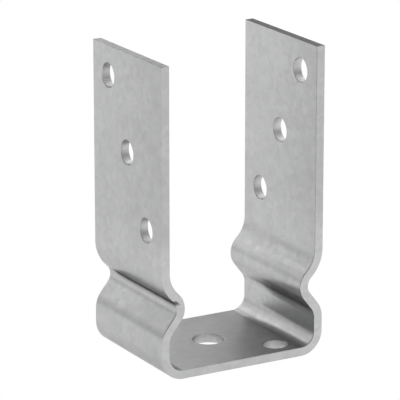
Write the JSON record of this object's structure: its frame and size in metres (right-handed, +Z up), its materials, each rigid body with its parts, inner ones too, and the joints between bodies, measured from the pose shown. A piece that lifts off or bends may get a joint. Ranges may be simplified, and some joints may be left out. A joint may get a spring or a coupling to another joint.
{
  "type": "post base",
  "caption": "U-shaped bolt-down post base folded from flat galvanised steel, with a pinched waist that holds a timber post's end clear of the ground and slanting rows of screw holes.",
  "frame": {"origin": "middle of the foot plate's underside, on the ground", "axes": "+Z up along the post, X across the gap between the arms, Y along the width of the strip"},
  "size_m": [0.08, 0.06, 0.138],
  "materials": {
    "galvanised_steel": "hot-dip galvanised, dull light grey with a fine mottle, sheared edges brighter"
  },
  "bodies": {
    "root": {"post_base": "galvanised_steel"}
  },
  "joints": []
}
